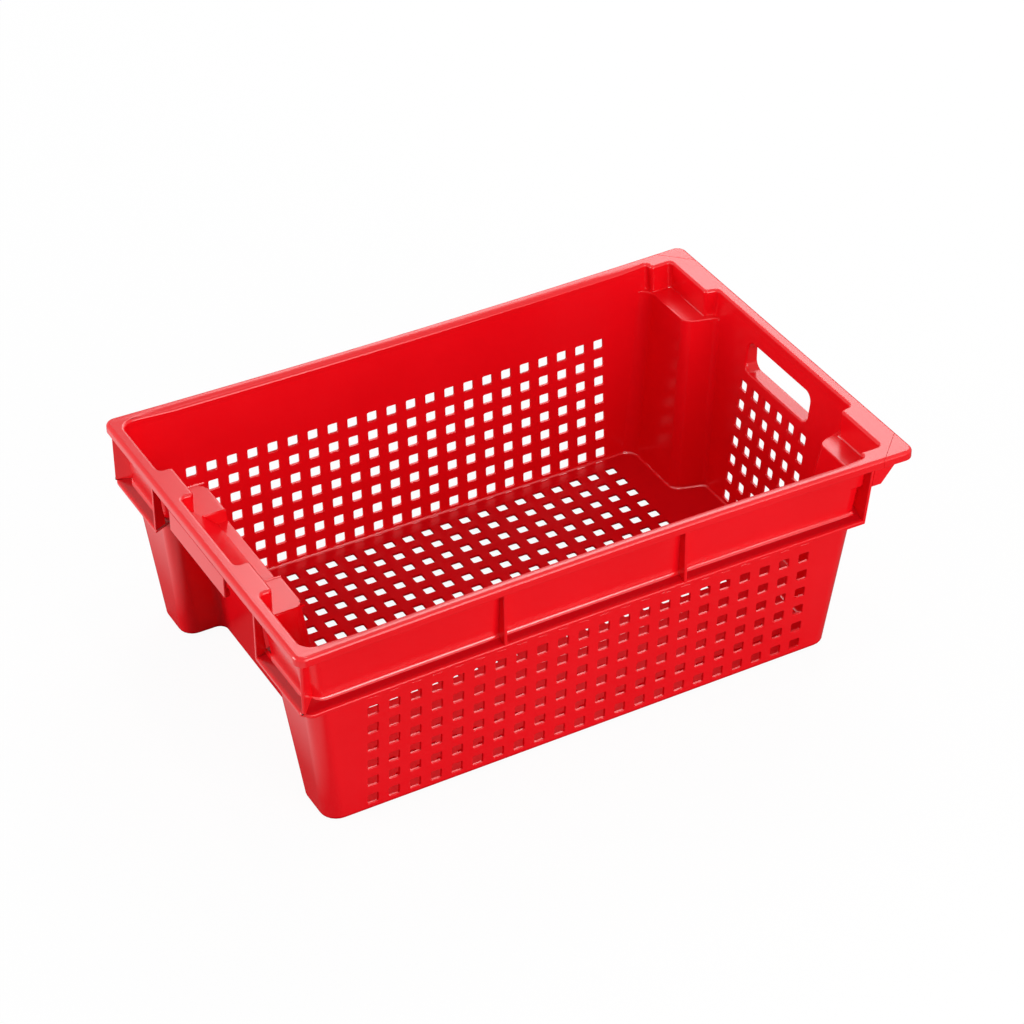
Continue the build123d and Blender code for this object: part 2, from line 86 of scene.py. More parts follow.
class Facing(Enum):
    """Which way a panel's outer face looks, as the turn from the front about X, Y and Z."""

    FRONT = (0.0, 0.0, 0.0)
    REAR = (0.0, 0.0, math.pi)
    SLOT_END = (0.0, 0.0, math.pi / 2)
    FLOOR = (math.pi / 2, 0.0, 0.0)


class EdgeStyle(Enum):
    """How the free edges of a moulded section are rounded, as a radius."""

    FINE = 0.5 * MM
    SOFT = 0.9 * MM
    LEDGE = 1.0 * MM


class NodeBuilder:
    """Short calls that add nodes to one node tree."""

    def __init__(self, tree: bpy.types.NodeTree) -> None:
        """Work on a tree."""
        self.tree = tree

    def feed(self, node: bpy.types.Node, inputs: dict) -> None:
        """Set inputs of a node, by name or number, each to a value or to what a socket carries."""
        for key, value in inputs.items():
            if isinstance(value, Socket):
                self.tree.links.new(value, node.inputs[key])
            else:
                node.inputs[key].default_value = value

    def add(self, kind: str, inputs: dict | None = None, output: int | str = 0, **settings: object) -> Socket:
        """Add a node, set it up and feed its inputs.

        Args:
            kind: Node type.
            inputs: Value or socket for each input, by name or number.
            output: Name or number of the output that is wanted.
            settings: Properties of the node.

        Returns:
            That output.
        """
        node = self.tree.nodes.new(kind)
        for name, value in settings.items():
            setattr(node, name, value)
        self.feed(node, inputs or {})
        return node.outputs[output]

    def effect(self, name: str, inputs: dict) -> Socket:
        """Place a shared shader group and return its result."""
        return self.add("ShaderNodeGroup", inputs, node_tree=bpy.data.node_groups[name])

    def math(self, operation: str, *values: object) -> Socket:
        """Add a math node on up to three values or sockets and return its result."""
        return self.add("ShaderNodeMath", dict(enumerate(values)), operation=operation)

    def noise(self, place: Socket, scale: object, detail: float) -> Socket:
        """Noise at a place."""
        return self.add("ShaderNodeTexNoise", {"Vector": place, "Scale": scale, "Detail": detail})

    def vector(self, x: object, y: object, z: object) -> Socket:
        """Join three values or sockets into a vector."""
        return self.add("ShaderNodeCombineXYZ", {0: x, 1: y, 2: z})

    def split(self, vector: Socket) -> bpy.types.NodeOutputs:
        """Split a vector into X, Y and Z."""
        return self.add("ShaderNodeSeparateXYZ", {0: vector}).node.outputs

    def scaled(self, vector: Socket, by: Socket) -> Socket:
        """Multiply a vector by a value."""
        return self.add("ShaderNodeVectorMath", {0: vector, "Scale": by}, operation="SCALE")

    def added(self, first: Socket, second: Socket) -> Socket:
        """Add two vectors."""
        return self.add("ShaderNodeVectorMath", {0: first, 1: second}, operation="ADD")

    def mixed(self, amount: Socket, first: Socket, second: Socket) -> Socket:
        """Mix two colours."""
        return self.add("ShaderNodeMix", {0: amount, 6: first, 7: second}, 2, data_type="RGBA")

    def moved(self, geometry: Socket, by: Socket) -> Socket:
        """Move geometry by a vector."""
        return self.add("GeometryNodeTransform", {"Geometry": geometry, "Translation": by})


class TreeBuilder(NodeBuilder):
    """Builds a node group with named inputs and outputs."""

    def __init__(self, name: str, kind: str) -> None:
        """Start an empty group of a kind of tree."""
        super().__init__(bpy.data.node_groups.new(name, kind))
        self.source = self.tree.nodes.new("NodeGroupInput")
        self.sink = self.tree.nodes.new("NodeGroupOutput")

    def takes(self, kind: str, *names: str) -> list[Socket]:
        """Add named inputs of one kind.

        Args:
            kind: Kind of socket, such as Float.
            names: Names of the inputs.

        Returns:
            The sockets inside the tree that carry them.
        """
        for name in names:
            self.tree.interface.new_socket(name=name, in_out="INPUT", socket_type="NodeSocket" + kind)
        return [self.source.outputs[name] for name in names]

    def gives(self, kind: str, name: str, value: Socket) -> None:
        """Add a named output of a kind and feed it."""
        self.tree.interface.new_socket(name=name, in_out="OUTPUT", socket_type="NodeSocket" + kind)
        self.tree.links.new(value, self.sink.inputs[name])

    def join(self, *parts: Socket) -> Socket:
        """Join pieces of geometry into one."""
        joined = self.tree.nodes.new("GeometryNodeJoinGeometry")
        for part in parts:
            self.tree.links.new(part, joined.inputs[0])
        return joined.outputs[0]

    def finish_geometry(self, geometry: Socket, material: Socket) -> None:
        """Realize what the tree made, give it its material and put it out."""
        real = self.add("GeometryNodeRealizeInstances", {"Geometry": geometry})
        dressed = self.add("GeometryNodeSetMaterial", {"Geometry": real, "Material": material})
        self.gives("Geometry", "Geometry", dressed)


SINK_WEIGHT = 4.0
DRIFT_FROM, DRIFT_TO = 0.35, 0.65
STREAK_SCALE = (60.0, 140.0, 220.0)
SCUFF_SCALE = 14.0
SCUFF_MIDDLE = 0.25
LEAST_ROUGHNESS = 0.05


def mould_grain_group() -> None:
    """Group mould_grain: Height of the moulding's skin, a fine grain over slow sink marks."""
    build = TreeBuilder("mould_grain", "ShaderNodeTree")
    (place,) = build.takes("Vector", "Vector")
    grain_size, sink_size = build.takes("Float", "Grain Size", "Sink Size")
    grain = build.noise(place, build.math("DIVIDE", 1.0, grain_size), 2.0)
    sink = build.noise(place, build.math("DIVIDE", 1.0, sink_size), 1.0)
    build.gives("Float", "Height", build.math("MULTIPLY_ADD", sink, SINK_WEIGHT, grain))


def colour_drift_group() -> None:
    """Group colour_drift: Colour of the plastic, which drifts slowly to its Shade."""
    build = TreeBuilder("colour_drift", "ShaderNodeTree")
    (place,) = build.takes("Vector", "Vector")
    (size,) = build.takes("Float", "Drift Size")
    colour, shade = build.takes("Color", "Colour", "Shade")
    cloud = build.noise(place, build.math("DIVIDE", 1.0, size), 3.0)
    spread = build.add("ShaderNodeMapRange", {0: cloud, 1: DRIFT_FROM, 2: DRIFT_TO})
    build.gives("Color", "Colour", build.mixed(spread, colour, shade))


def handling_group() -> None:
    """Group handling_scuffs: Roughness, which the faint scuffs of handling vary."""
    build = TreeBuilder("handling_scuffs", "ShaderNodeTree")
    (place,) = build.takes("Vector", "Vector")
    roughness, spread = build.takes("Float", "Roughness", "Spread")
    stretched = build.add("ShaderNodeMapping", {"Vector": place, "Scale": STREAK_SCALE})
    mark = build.math("MULTIPLY", build.noise(stretched, 1.0, 4.0), build.noise(place, SCUFF_SCALE, 2.0))
    amount = build.math("SUBTRACT", mark, SCUFF_MIDDLE)
    result = build.math("MULTIPLY_ADD", amount, spread, roughness)
    build.gives("Float", "Roughness", build.math("MAXIMUM", result, LEAST_ROUGHNESS))


def painted_shade_group() -> None:
    """Group of painted shade: Colour darkens towards a shade colour from a Low to a High height, painting the
    rim's shadow on a flange's top.
    """
    build = TreeBuilder("painted_height_shade", "ShaderNodeTree")
    (place,) = build.takes("Vector", "Vector")
    colour, painted_shade = build.takes("Color", "Colour", "Painted Shade")
    low, high = build.takes("Float", "Low", "High")
    amount = build.add("ShaderNodeMapRange", {0: build.split(place)["Z"], 1: low, 2: high})
    build.gives("Color", "Colour", build.mixed(amount, colour, painted_shade))


@dataclass(frozen=True)
class PlasticFinish:
    """One finish of the crate's red plastic."""

    name: str
    colour: Triple
    shade: Triple
    roughness: float
    scuffs: float
    grain_size: float = 1.6 * MM
    grain_depth: float = 0.006 * MM
    drift_size: float = 0.12
    sink_size: float = 0.045
    ior: float = 1.49
    specular: float = 0.35
    # Painted shade: a darker colour mixed in from a low to a high height, for the rim's shadow on a flange;
    # by default both heights lie above the crate, so none is painted.
    painted_shade: Triple = (0.5, 0.002, 0.006)
    painted_shade_low: float = 1.0
    painted_shade_high: float = 2.0

    def material(self) -> bpy.types.Material:
        """Build the finish's material, or find it if it is there.

        Returns:
            A material on object coordinates whose effects come from the shared groups.
        """
        found = bpy.data.materials.get(self.name)
        if found:
            return found
        made = bpy.data.materials.new(self.name)
        made.use_nodes = True
        build = NodeBuilder(made.node_tree)
        place = build.add("ShaderNodeTexCoord", output="Object")
        drift = {"Drift Size": self.drift_size, "Colour": (*self.colour, 1.0), "Shade": (*self.shade, 1.0)}
        colour = build.effect("colour_drift", {"Vector": place, **drift})
        # Painted shade between two heights, mixed over the drifting colour.
        shade_inputs = {"Painted Shade": (*self.painted_shade, 1.0), "Low": self.painted_shade_low, "High": self.painted_shade_high}
        skin = {"Vector": place, "Grain Size": self.grain_size, "Sink Size": self.sink_size}
        bump = {"Distance": self.grain_depth, "Strength": 1.0, "Height": build.effect("mould_grain", skin)}
        worn = {"Vector": place, "Roughness": self.roughness, "Spread": self.scuffs}
        surface = {
            "Base Color": build.effect("painted_height_shade", {"Vector": place, "Colour": colour, **shade_inputs}),
            "Roughness": build.effect("handling_scuffs", worn),
            "Normal": build.add("ShaderNodeBump", bump),
            "IOR": self.ior,
            "Specular IOR Level": self.specular,
        }
        build.feed(made.node_tree.nodes["Principled BSDF"], surface)
        return made


RED = (0.86, 0.004, 0.010)
DEEP_RED = (0.82, 0.003, 0.008)
# Darker reds of the floor and its pads: painted shade for the floor lying in the walls' shadow; the plastic
# is the same red.
SHADED_FLOOR_RED = (0.71, 0.004, 0.009)
SHADED_FLOOR_DEEP_RED = (0.65, 0.003, 0.007)
WALL_FINISH = PlasticFinish("wall_red", RED, DEEP_RED, 0.18, 0.08)
RIM_FINISH = PlasticFinish("rim_red", RED, DEEP_RED, 0.22, 0.10, specular=0.5)
# The floor's darker red is painted shade.
FLOOR_FINISH = PlasticFinish("floor_red", SHADED_FLOOR_RED, SHADED_FLOOR_DEEP_RED, 0.30, 0.10, 1.3 * MM, specular=0.02)
FILLET_FINISH = PlasticFinish("fillet_red", RED, DEEP_RED, 0.10, 0.04, specular=1.0)
# The flange's sloping top gets painted shade between these heights, for the shadow under the rim.
FLANGE_FINISH = PlasticFinish(
    "flange_red", RED, DEEP_RED, 0.18, 0.08, painted_shade_low=143.9 * MM, painted_shade_high=145.2 * MM
)


@dataclass(frozen=True)
class Bow:
    """How far the long walls bow inwards halfway along the rim."""

    depth: float = 5.0 * MM

    def apply(self, mesh: Mesh) -> None:
        """Bow a mesh: the shift grows with height and dies out towards both ends.

        Args:
            mesh: Mesh in the frame's axes, changed in place.
        """
        low, high = CAD_BOX
        places = np.zeros(len(mesh.vertices) * 3, np.float32)
        mesh.vertices.foreach_get("co", places)
        places = places.reshape(-1, 3)
        along = 1.0 - (places[:, 0] / high.x) ** 2
        up = np.clip(places[:, 2] / high.z, 0.0, 1.0)
        places[:, 1] *= 1.0 - self.depth / high.y * along * up
        mesh.vertices.foreach_set("co", places.ravel())
        mesh.update()


BOW = Bow()


def new_object(name: str, data: bpy.types.ID) -> bpy.types.Object:
    """Link a new object into the scene."""
    made = bpy.data.objects.new(name, data)
    bpy.context.scene.collection.objects.link(made)
    return made


@contextmanager
def edited(mesh: Mesh) -> Iterator[Shape]:
    """Open a mesh for editing and write it back."""
    shape = bmesh.new()
    shape.from_mesh(mesh)
    yield shape
    shape.to_mesh(mesh)
    shape.free()


def place_piece(name: str, mesh: Mesh, finish: PlasticFinish, nodes: list[str]) -> None:
    """Put a finished mesh into the scene as a piece of the crate, riding on its body.

    Args:
        name: Name of the piece.
        mesh: Its mesh, in the frame's axes.
        finish: Its finish.
        nodes: CAD nodes that it stands for; none for a small fillet that lies on others.
    """
    BOW.apply(mesh)
    mesh.name = name
    mesh.materials.clear()
    mesh.materials.append(finish.material())
    piece = new_object(name, mesh)
    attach(piece, BODY)
    if nodes:
        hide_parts(*nodes)
    LOG.info("%s: %d faces, stands for %s", name, len(mesh.polygons), ", ".join(nodes) or "no node")


def evaluated_mesh(host: bpy.types.Object) -> Mesh:
    """Turn an object with its modifiers into a plain mesh and remove the object.

    Args:
        host: Object whose modifiers make the mesh.

    Returns:
        The mesh that the modifiers give.
    """
    graph = bpy.context.evaluated_depsgraph_get()
    mesh = bpy.data.meshes.new_from_object(host.evaluated_get(graph))
    old = host.data
    bpy.data.objects.remove(host)
    bpy.data.meshes.remove(old)
    return mesh


def weight_normals(host: bpy.types.Object) -> None:
    """Keep an object's flat faces flat under smooth shading."""
    weighted = host.modifiers.new("weighted", "WEIGHTED_NORMAL")
    weighted.keep_sharp = True
    weighted.weight = NORMAL_WEIGHT


def smooth(mesh: Mesh, sharp_angle: float) -> Mesh:
    """Shade a mesh smooth, with flat faces kept flat by weighted normals.

    Args:
        mesh: Mesh to shade.
        sharp_angle: Angle from which an edge stays sharp.

    Returns:
        The shaded mesh, which replaces the one given.
    """
    mesh.shade_smooth()
    mesh.set_sharp_from_angle(angle=sharp_angle)
    host = new_object(mesh.name + "_work", mesh)
    weight_normals(host)
    return evaluated_mesh(host)


def run_tree(name: str, mesh: Mesh, tree: bpy.types.NodeTree, values: dict) -> Mesh:
    """Run a geometry node tree over a mesh.

    Args:
        name: Name for the working object.
        mesh: Mesh that the tree takes in.
        tree: The tree.
        values: Value of each named input.

    Returns:
        The mesh that the tree gives.
    """
    host = new_object(name + "_work", mesh)
    modifier = host.modifiers.new("tree", "NODES")
    modifier.node_group = tree
    for item in tree.interface.items_tree:
        if item.in_out == "INPUT" and item.name in values:
            modifier[item.identifier] = values[item.name]
    return evaluated_mesh(host)


def wire_mesh(name: str, lines: list[Line], closed: bool) -> Mesh:
    """Wire mesh along one or more lines.

    Args:
        name: Name of the mesh.
        lines: Points of each line, in order.
        closed: Whether each line's last point joins its first.

    Returns:
        A mesh of edges.
    """
    points: Line = []
    links: list[tuple[int, int]] = []
    for line in lines:
        first, count = len(points), len(line)
        points.extend(line)
        links.extend((first + i, first + (i + 1) % count) for i in range(count if closed else count - 1))
    mesh = bpy.data.meshes.new(name)
    mesh.from_pydata(points, links, [])
    return mesh


def at_height(points: list[Point], height: float) -> Line:
    """A plan outline raised to a height."""
    return [(x, y, height) for x, y in points]


def front_and_rear(front: Line) -> list[Line]:
    """A line of the front half and its mirror on the rear, which keeps the open side on its right."""
    return [front, [(x, -y, z) for x, y, z in reversed(front)]]


def rounded_corners(corners: list[Triple], steps: int = 6) -> list[Point]:
    """Closed outline with its corners rounded by arcs.

    Args:
        corners: Corner places and radii, in order; a corner of no radius stays a point.
        steps: Straight steps in each arc.

    Returns:
        Points of the outline.
    """
    outline: list[Point] = []
    for index, (x, y, radius) in enumerate(corners):
        if not radius:
            outline.append((x, y))
            continue
        here = Vector((x, y))
        before = (Vector(corners[index - 1][:2]) - here).normalized()
        after = (Vector(corners[(index + 1) % len(corners)][:2]) - here).normalized()
        half = before.angle(after) / 2
        reach = radius / math.tan(half)
        middle = here + (before + after).normalized() * (radius / math.sin(half))
        first = here + before * reach - middle
        last = here + after * reach - middle
        sweep = first.angle_signed(last)
        start = math.atan2(first.y, first.x)
        for step in range(steps + 1):
            angle = start - sweep * step / steps
            outline.append((middle.x + radius * math.cos(angle), middle.y + radius * math.sin(angle)))
    return outline


@dataclass
class TubShape:
    """Outer shape of the tapered tub, which the floor and its fillets follow."""

    foot_half_length: float
    foot_half_width: float
    end_slope: float
    side_slope: float
    wall: float = 3.0 * MM
    leg_width: float = 53.9 * MM
    recess_depth: float = 38.6 * MM
    column_width: float = 75.9 * MM
    column_setback: float = 31.6 * MM
    bulge_taper: float = 9.0 * MM
    corner_radius: float = 16.0 * MM
    leg_radius: float = 14.0 * MM
    recess_radius: float = 8.0 * MM
    column_radius: float = 8.0 * MM
    bulge_radius: float = 10.0 * MM

    @classmethod
    def from_frame(cls) -> "TubShape":
        """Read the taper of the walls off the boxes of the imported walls."""
        side_low, side_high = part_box("side_wall_front")
        end_low, end_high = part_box("slot_end_wall")
        rise = side_high.z - side_low.z
        side_slope = (side_high.y - side_low.y - cls.wall) / rise
        end_slope = (end_high.x - end_low.x - cls.wall) / rise
        half_length = end_high.x - end_slope * end_high.z
        half_width = -side_low.y - side_slope * side_high.z
        return cls(half_length, half_width, end_slope, side_slope)

    def half_length(self, height: float) -> float:
        """Half length of the tub at a height."""
        return self.foot_half_length + self.end_slope * height

    def half_width(self, height: float) -> float:
        """Half width of the tub at a height."""
        return self.foot_half_width + self.side_slope * height

    def bulge_half_width(self, height: float) -> float:
        """Half width of the bulge at a height, where it leaves the columns."""
        return self.foot_half_width - self.column_width + self.end_slope * height

    def outline(self, height: float, inset: float = 0.0) -> list[Point]:
        """Outline of the tub at a height, anticlockwise from the recess.

        Args:
            height: Height above the floor.
            inset: How far inside the outer face the outline runs.

        Returns:
            Points of the closed outline.
        """
        end = self.half_length(height) - inset
        side = self.half_width(height) - inset
        recess = self.half_length(height) - self.recess_depth - inset
        column = self.half_length(height) - self.column_setback - inset
        leg = self.foot_half_width - self.leg_width - self.end_slope * height + inset
        bulge = self.bulge_half_width(height) - inset
        front = [
            (-recess, -leg, self.recess_radius + inset),
            (-end, -leg, self.leg_radius - inset),
            (-end, -side, self.corner_radius - inset),
            (column, -side, self.corner_radius - inset),
            (column, -bulge, self.column_radius + inset),
            (end, -bulge + self.bulge_taper, self.bulge_radius - inset),
        ]
        rear = [(x, -y, radius) for x, y, radius in reversed(front)]
        return rounded_corners(front + rear)


TUB = TubShape.from_frame()


@dataclass(frozen=True)
class Perforation:
    """Size and spacing of the square holes."""

    hole: float = 10.2 * MM
    corner: float = 1.2 * MM
    edge: float = 0.45 * MM
    along: float = 20.26 * MM
    across: float = 19.9 * MM
    up: float = 20.2 * MM
    lowest_row: float = 13.3 * MM
    rows_up: int = 7
    column_margin: float = 38.0 * MM

    def middle_along(self, columns: int) -> float:
        """Middle of a run of columns that starts beside the slot end's columns."""
        first = TUB.foot_half_length - TUB.column_setback - self.column_margin
        return first - (columns - 1) * self.along / 2

    def middle_up(self) -> float:
        """Height of the middle row of a wall's holes."""
        return self.lowest_row + (self.rows_up - 1) * self.up / 2


HOLES = Perforation()
ARC_MIDDLE = 0.293
HOLE_STEPS = 2
SLOT_STEPS = 8
PANEL_WELD = 0.13 * MM


def perforated_tree() -> None:
    """Tree pierced_panel: an outline is filled, pierced by a grid of holes and leant into its place.

    Its host is the outline as a wire mesh, with the panel's run along X and its rise along Y.
    """
    build = TreeBuilder("pierced_panel", "GeometryNodeTree")
    (wire,) = build.takes("Geometry", "Outline")
    columns, rows = build.takes("Int", "Columns", "Rows")
    pitch_run, pitch_rise, middle_run, middle_rise = build.takes(
        "Float", "Pitch Run", "Pitch Rise", "Middle Run", "Middle Rise"
    )
    hole, corner, edge, thickness, foot, slope = build.takes(
        "Float", "Hole", "Corner Radius", "Edge Radius", "Thickness", "Foot", "Slope"
    )
    (turn,) = build.takes("Vector", "Turn")
    (has_slot,) = build.takes("Bool", "Has Slot")
    slot_width, slot_height, slot_rise, slot_corner, slot_edge = build.takes(
        "Float", "Slot Width", "Slot Height", "Slot Rise", "Slot Corner Radius", "Slot Edge Radius"
    )
    (material,) = build.takes("Material", "Material")

    def rounded(width: object, height: object, radius: object, steps: int) -> Socket:
        """Rounded rectangle as a curve of straight steps."""
        plain = build.add("GeometryNodeCurvePrimitiveQuadrilateral", {0: width, 1: height}, mode="RECTANGLE")
        inputs = {"Curve": plain, "Count": steps, "Radius": radius}
        return build.add("GeometryNodeFilletCurve", inputs, mode="POLY")

    def grown(size: object, by: object) -> Socket:
        """A size with a rounding added on both sides."""
        return build.math("MULTIPLY_ADD", by, 2.0, size)

    def profile(*points: tuple[object, object]) -> Socket:
        """Open profile curve through points out from the hole and up through the thickness."""
        line = build.add("GeometryNodeCurvePrimitiveLine", {"End": (0.0, 1.0, 0.0)})
        inputs = {"Curve": line, "Count": len(points)}
        stepped = build.add("GeometryNodeResampleCurve", inputs)
        choice = build.tree.nodes.new("GeometryNodeIndexSwitch")
        choice.data_type = "VECTOR"
        while len(choice.index_switch_items) < len(points):
            choice.index_switch_items.new()
        build.tree.links.new(build.add("GeometryNodeInputIndex"), choice.inputs["Index"])
        for number, (out, up) in enumerate(points):
            place = build.vector(out, build.math("MULTIPLY", up, -1.0), 0.0)
            build.tree.links.new(place, choice.inputs[1 + number])
        return build.add("GeometryNodeSetPosition", {"Geometry": stepped, "Position": choice.outputs[0]})

    def swept(path: Socket, section: Socket) -> Socket:
        """Profile swept along a curve."""
        return build.add("GeometryNodeCurveToMesh", {"Curve": path, "Profile Curve": section})

    outline = build.add("GeometryNodeMeshToCurve", {"Mesh": wire})
    inner_edge = build.math("SUBTRACT", thickness, edge)
    collar_profile = profile((edge, 0.0), (0.0, edge), (0.0, inner_edge), (edge, thickness))
    collar = swept(rounded(hole, hole, corner, HOLE_STEPS), collar_profile)
    mouth_size = grown(hole, edge)
    mouth = rounded(mouth_size, mouth_size, build.math("ADD", corner, edge), HOLE_STEPS)
    run = build.math("MULTIPLY", build.math("SUBTRACT", columns, 1.0), pitch_run)
    rise = build.math("MULTIPLY", build.math("SUBTRACT", rows, 1.0), pitch_rise)
    grid = build.add("GeometryNodeMeshGrid", {0: run, 1: rise, 2: columns, 3: rows})
    grid = build.moved(grid, build.vector(middle_run, middle_rise, 0.0))
    collars = build.add("GeometryNodeInstanceOnPoints", {"Points": grid, "Instance": collar})
    mouths = build.add("GeometryNodeInstanceOnPoints", {"Points": grid, "Instance": mouth})
    mouths = build.add("GeometryNodeRealizeInstances", {"Geometry": mouths})

    slot_turn = build.math("SUBTRACT", thickness, slot_edge)
    slot_half_out = build.math("MULTIPLY", slot_edge, ARC_MIDDLE)
    slot_half_up = build.math("SUBTRACT", thickness, slot_half_out)
    slot_arc = (0.0, slot_turn), (slot_half_out, slot_half_up), (slot_edge, thickness)
    slot_profile = profile((0.0, 0.0), *slot_arc)
    slot_place = build.vector(0.0, slot_rise, 0.0)
    slot_path = build.moved(rounded(slot_width, slot_height, slot_corner, SLOT_STEPS), slot_place)
    mouth_sides = grown(slot_width, slot_edge), grown(slot_height, slot_edge)
    slot_mouth = rounded(*mouth_sides, build.math("ADD", slot_corner, slot_edge), SLOT_STEPS)
    slot_mouth = build.moved(slot_mouth, slot_place)

    def with_slot(slot_geometry: Socket) -> Socket:
        """Geometry of the hand slot, only where the panel has one."""
        inputs = {"Switch": has_slot, "True": slot_geometry}
        return build.add("GeometryNodeSwitch", inputs, input_type="GEOMETRY")

    outer_curves = build.join(outline, mouths, with_slot(slot_path))
    inner_curves = build.join(outline, mouths, with_slot(slot_mouth))
    outer_face = build.add("GeometryNodeFillCurve", {"Curve": outer_curves}, mode="TRIANGLES")
    inner_face = build.add("GeometryNodeFillCurve", {"Curve": inner_curves}, mode="TRIANGLES")
    inner_face = build.moved(inner_face, build.vector(0.0, 0.0, thickness))
    border = swept(outline, profile((0.0, 0.0), (0.0, thickness)))
    panel = build.join(outer_face, inner_face, border, collars, with_slot(swept(slot_path, slot_profile)))
    panel = build.add("GeometryNodeRealizeInstances", {"Geometry": panel})
    panel = build.add("GeometryNodeMergeByDistance", {"Geometry": panel, "Distance": PANEL_WELD})
    parts = build.split(build.add("GeometryNodeInputPosition"))
    face = build.math("MULTIPLY_ADD", slope, parts["Y"], foot)
    leant = build.vector(parts["X"], build.math("SUBTRACT", parts["Z"], face), parts["Y"])
    panel = build.add("GeometryNodeSetPosition", {"Geometry": panel, "Position": leant})
    rotation = build.add("FunctionNodeEulerToRotation", {"Euler": turn})
    panel = build.add("GeometryNodeTransform", {"Geometry": panel, "Rotation": rotation})
    build.finish_geometry(panel, material)


def fillet_tree() -> None:
    """Tree hollow_fillet: a hollow fillet in the corner of two faces, swept along the corner.

    Its host is the corner as a wire mesh, with the open side on the right of its lines.
    """
    build = TreeBuilder("hollow_fillet", "GeometryNodeTree")
    (wire,) = build.takes("Geometry", "Corner")
    reach, root_share = build.takes("Float", "Reach", "Root Share")
    wall, floor = build.takes("Vector", "Wall Direction", "Floor Direction")
    (steps,) = build.takes("Int", "Steps")
    (material,) = build.takes("Material", "Material")
    index = build.add("GeometryNodeInputIndex")
    share = build.math("DIVIDE", index, steps)
    rest = build.math("SUBTRACT", 1.0, share)
    up_wall = build.math("MULTIPLY", reach, build.math("MULTIPLY", rest, rest))
    along_floor = build.math("MULTIPLY", reach, build.math("MULTIPLY", share, share))
    hollow = build.added(build.scaled(wall, up_wall), build.scaled(floor, along_floor))
    behind = build.math("MULTIPLY", reach, build.math("MULTIPLY", root_share, -1.0))
    root = build.scaled(build.added(wall, floor), behind)
    last = build.add("FunctionNodeCompare", {2: index, 3: steps}, data_type="INT", operation="GREATER_THAN")
    choice = {"Switch": last, "False": hollow, "True": root}
    place = build.add("GeometryNodeSwitch", choice, input_type="VECTOR")
    flipped = build.add("ShaderNodeVectorMath", {0: place, 1: (1.0, -1.0, 0.0)}, operation="MULTIPLY")
    line = build.add("GeometryNodeCurvePrimitiveLine", {"End": (0.0, 1.0, 0.0)})
    count = build.math("ADD", steps, 2.0)
    section = build.add("GeometryNodeResampleCurve", {"Curve": line, "Count": count})
    section = build.add("GeometryNodeSetPosition", {"Geometry": section, "Position": flipped})
    section = build.add("GeometryNodeSetSplineCyclic", {"Geometry": section, "Cyclic": True})
    path = build.add("GeometryNodeMeshToCurve", {"Mesh": wire})
    path = build.add("GeometryNodeSetCurveNormal", {"Curve": path}, mode="Z_UP")
    inputs = {"Curve": path, "Profile Curve": section, "Fill Caps": True}
    build.finish_geometry(build.add("GeometryNodeCurveToMesh", inputs), material)


@dataclass
class HollowFillet:
    """A small hollow fillet along the corner of two faces, as the mould leaves it."""

    name: str
    lines: list[Line]
    reach: float
    wall: Point = (0.0, 1.0)
    floor: Point = (1.0, 0.0)
    closed: bool = False
    steps: int = 4
    root_share: float = 0.2
    weld: float = 0.001 * MM

    def build(self) -> None:
        """Sweep the fillet and put it in place, on the sections that it lies on."""
        values = {
            "Reach": self.reach,
            "Wall Direction": (*Vector(self.wall).normalized(), 0.0),
            "Floor Direction": (*Vector(self.floor).normalized(), 0.0),
            "Steps": self.steps,
            "Root Share": self.root_share,
            "Material": FILLET_FINISH.material(),
        }
        wire = wire_mesh(self.name, self.lines, self.closed)
        made = run_tree(self.name, wire, bpy.data.node_groups["hollow_fillet"], values)
        with edited(made) as shape:
            bmesh.ops.remove_doubles(shape, verts=shape.verts, dist=self.weld)
            bmesh.ops.recalc_face_normals(shape, faces=shape.faces)
        place_piece(self.name, smooth(made, FILLET_ANGLE), FILLET_FINISH, [])


@dataclass
class PiercedPanel:
    """A flat section with its grid of square holes."""

    node: str
    facing: Facing
    outline: list[Point]
    columns: int
    rows: int
    pitch: Point
    middle: Point
    foot: float
    slope: float
    finish: PlasticFinish
    slot: dict = field(default_factory=dict)

    def mesh(self) -> Mesh:
        """Pierce, lean and clean the panel.

        Returns:
            Its closed mesh, with outward normals, before shading.
        """
        values = {
            "Columns": self.columns,
            "Rows": self.rows,
            "Pitch Run": self.pitch[0],
            "Pitch Rise": self.pitch[1],
            "Middle Run": self.middle[0],
            "Middle Rise": self.middle[1],
            "Hole": HOLES.hole,
            "Corner Radius": HOLES.corner,
            "Edge Radius": HOLES.edge,
            "Thickness": TUB.wall,
            "Foot": self.foot,
            "Slope": self.slope,
            "Turn": self.facing.value,
            "Has Slot": bool(self.slot),
            "Material": self.finish.material(),
            **self.slot,
        }
        wire = wire_mesh(self.node, [at_height(self.outline, 0.0)], closed=True)
        made = run_tree(self.node, wire, bpy.data.node_groups["pierced_panel"], values)
        with edited(made) as shape:
            bmesh.ops.recalc_face_normals(shape, faces=shape.faces)
            open_edges = sum(1 for edge in shape.edges if not edge.is_manifold)
        if open_edges:
            LOG.warning("%s: %d open edges", self.node, open_edges)
        return made

    def place(self, made: Mesh) -> None:
        """Shade the panel's mesh and put it in place of its node."""
        place_piece(self.node + "_panel", smooth(made, PANEL_ANGLE), self.finish, [self.node])


def stepped_rectangle(low: Point, high: Point, step: float) -> list[Point]:
    """Rectangle whose long runs are divided, so that they can bow.

    Args:
        low: Lowest corner.
        high: Highest corner.
        step: Longest step along the run.

    Returns:
        Points, anticlockwise.
    """
    count = max(1, math.ceil((high[0] - low[0]) / step))
    runs = [low[0] + (high[0] - low[0]) * index / count for index in range(count + 1)]
    return [(x, low[1]) for x in runs] + [(x, high[1]) for x in reversed(runs)]


